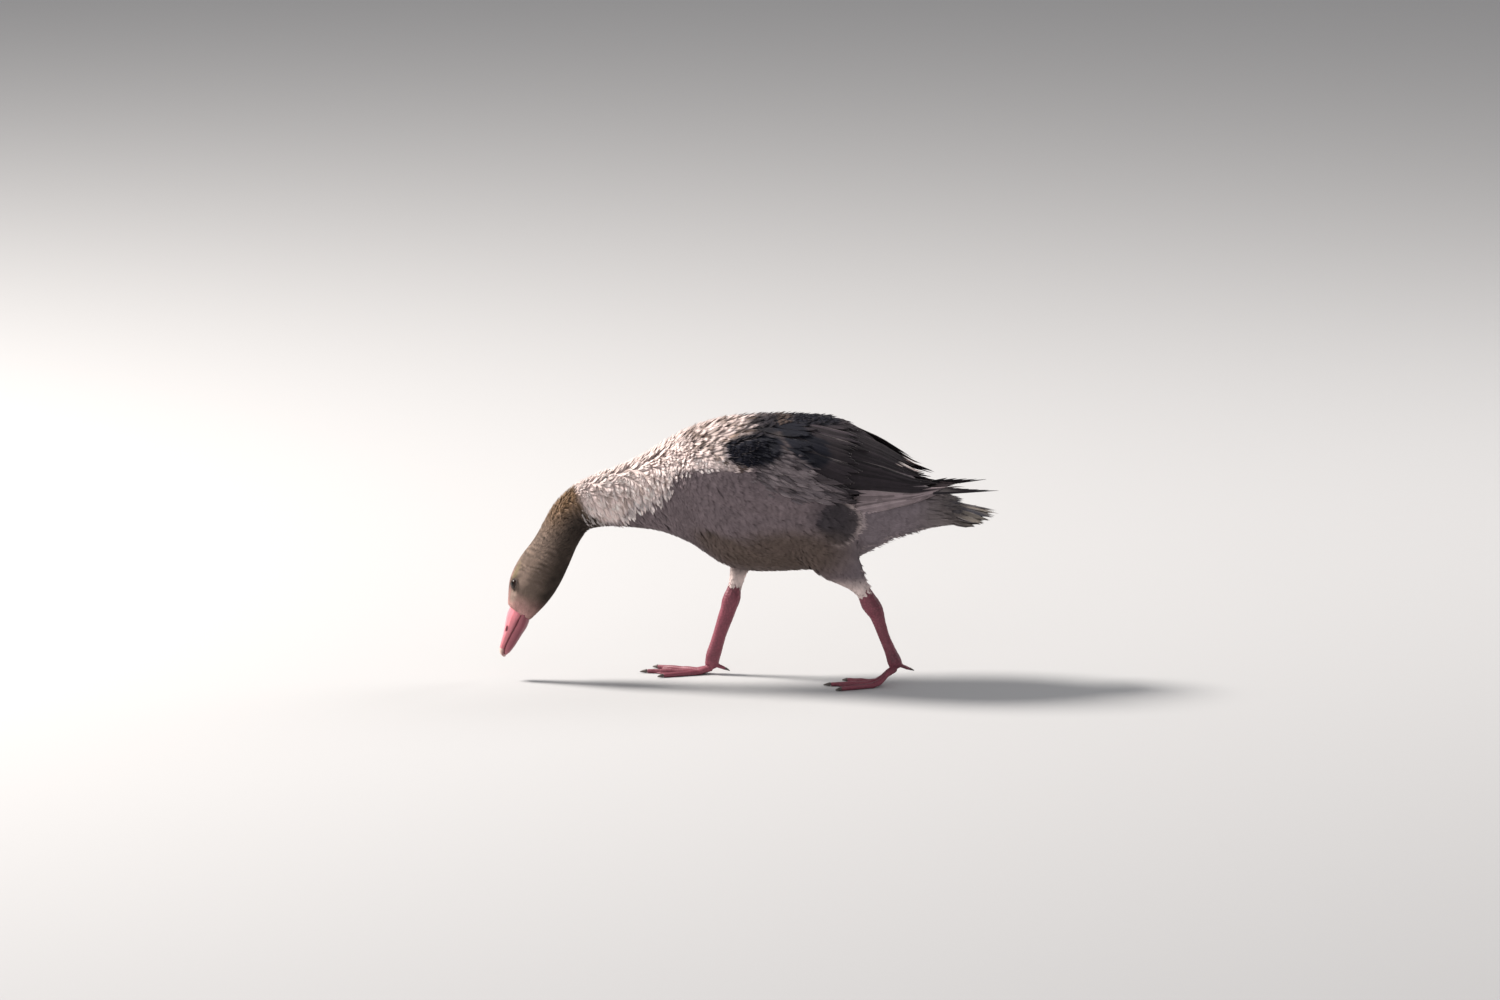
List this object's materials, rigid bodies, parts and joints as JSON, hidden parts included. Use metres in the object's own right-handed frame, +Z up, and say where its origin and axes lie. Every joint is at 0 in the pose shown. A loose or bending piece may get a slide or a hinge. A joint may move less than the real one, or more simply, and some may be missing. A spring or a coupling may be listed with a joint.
{
  "type": "domestic goose",
  "caption": "Grazing goose in mid stride: head lowered, folded wings, short tail and pink webbed feet; still, life-size model.",
  "frame": {"origin": "middle of the bounding box at floor level, under the bird's belly", "axes": "+Z up, the goose faces -X and its left side is towards -Y"},
  "size_m": [0.6094, 0.1874, 0.3292],
  "materials": {
    "plumage_brown": "short soft feathers, grey brown, matte",
    "plumage_pale": "soft cream white feathers with a dusty tint, matte",
    "plumage_grey": "firm grey and slate brown wing feathers, faint sheen",
    "plumage_flight": "stiff dark brown flight feathers, faint sheen",
    "bill_pink": "smooth salmon pink horn skin, soft sheen",
    "nail_horn": "pale horn, soft sheen",
    "leg_pink": "rose pink scaly skin, soft sheen",
    "claw_horn": "dark horn, soft sheen",
    "eye_brown": "wet dark brown, glossy"
  },
  "bodies": {
    "root": {"bill_upper": "bill_pink", "bill_lower": "bill_pink", "bill_nail": "nail_horn", "head": "plumage_brown", "eye_left": "eye_brown", "eye_right": "eye_brown", "neck_upper": "plumage_brown", "neck_lower": "plumage_pale", "trunk": "plumage_pale", "wing_left": "plumage_grey", "wing_right": "plumage_grey", "wing_tip_left": "plumage_flight", "wing_tip_right": "plumage_flight", "tail": "plumage_pale", "thigh_left": "plumage_pale", "thigh_right": "plumage_pale", "shank_left": "leg_pink", "shank_right": "leg_pink", "foot_left": "leg_pink", "foot_right": "leg_pink", "claw_inner_left": "claw_horn", "claw_inner_right": "claw_horn", "claw_middle_left": "claw_horn", "claw_middle_right": "claw_horn", "claw_outer_left": "claw_horn", "claw_outer_right": "claw_horn", "claw_hind_left": "claw_horn", "claw_hind_right": "claw_horn"}
  },
  "joints": []
}
